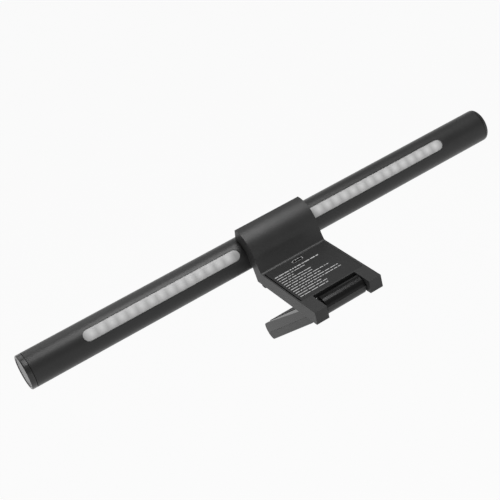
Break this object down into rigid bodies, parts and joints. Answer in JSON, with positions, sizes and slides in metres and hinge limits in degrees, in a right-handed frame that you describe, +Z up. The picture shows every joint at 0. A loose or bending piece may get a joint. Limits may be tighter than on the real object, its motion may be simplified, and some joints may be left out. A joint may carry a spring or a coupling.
{
  "type": "monitor light bar",
  "caption": "Clip-on monitor light bar: a round LED bar held by a hooked bracket that rests on a monitor's top edge, with a sprung leg that swings in against its back.",
  "frame": {"origin": "middle of the rest pad's lower face, where the bracket rests on the monitor's top edge", "axes": "+X along the light bar towards its touch key, +Y behind the monitor, +Z up"},
  "size_m": [0.391, 0.104, 0.1067],
  "materials": {
    "dark_anodised": "satin, very fine texture",
    "panel_paint": "satin, very fine texture",
    "dark_plastic": "fine moulded texture",
    "cap_plastic": "semi gloss",
    "leg_plastic": "satin moulded",
    "leg_cover_paint": "satin",
    "grey_plastic": "satin",
    "milky_lens": "milky, satin",
    "silicone": "matte",
    "circuit_board": "white solder mask",
    "wire_sleeve": "matte sleeve",
    "steel": "bright screws and pin",
    "socket_steel": "plated",
    "spring_steel": "plain",
    "cast_iron": "plain block",
    "bare_aluminium": "extruded, bare"
  },
  "bodies": {
    "bracket": {"bracket_shell": "dark_anodised", "top_panel": "panel_paint", "hook_liner": "dark_plastic", "clamp_shoe": "spring_steel", "base_cover": "dark_plastic", "rest_pad": "silicone", "front_lip": "silicone", "usb_socket": "socket_steel", "usb_board": "circuit_board", "power_harness": "wire_sleeve", "hinge_pin": "steel", "hinge_spring": "spring_steel", "clamp_screw_1": "steel", "clamp_screw_2": "steel", "liner_screw_1": "steel", "liner_screw_2": "steel", "base_screw_1": "steel", "base_screw_2": "steel", "base_screw_3": "steel", "base_screw_4": "steel"},
    "light_bar": {"tube_housing": "dark_anodised", "rear_diffuser_left": "milky_lens", "rear_diffuser_right": "milky_lens", "front_diffuser": "milky_lens", "rear_led_board_left": "circuit_board", "rear_led_board_right": "circuit_board", "front_led_board": "circuit_board", "led_carrier": "bare_aluminium", "driver_board": "circuit_board", "end_cap_left": "cap_plastic", "touch_disc": "grey_plastic", "touch_board": "circuit_board", "indicator_lens": "milky_lens", "end_cap_right": "cap_plastic", "cap_screw_left_1": "steel", "cap_screw_left_2": "steel", "cap_screw_right_1": "steel", "cap_screw_right_2": "steel"},
    "leg": {"leg_inner_shell": "leg_plastic", "leg_outer_shell": "leg_cover_paint", "leg_pad": "silicone", "counterweight": "cast_iron", "leg_screw_1": "steel", "leg_screw_2": "steel"}
  },
  "joints": [
    {"name": "bar_tilt", "type": "hinge", "parent": "bracket", "child": "light_bar", "pos_m": [0, -0.0435, 0.0157], "axis": [1, 0, 0], "range_deg": [-12.5, 12.5]},
    {"name": "leg_hinge", "type": "hinge", "parent": "bracket", "child": "leg", "pos_m": [0, 0.0375, 0.0045], "axis": [1, 0, 0], "range_deg": [0, 60], "stiffness_Nm_per_rad": 0.08, "springref_deg": -68.75, "deforming": ["hinge_spring"]}
  ]
}
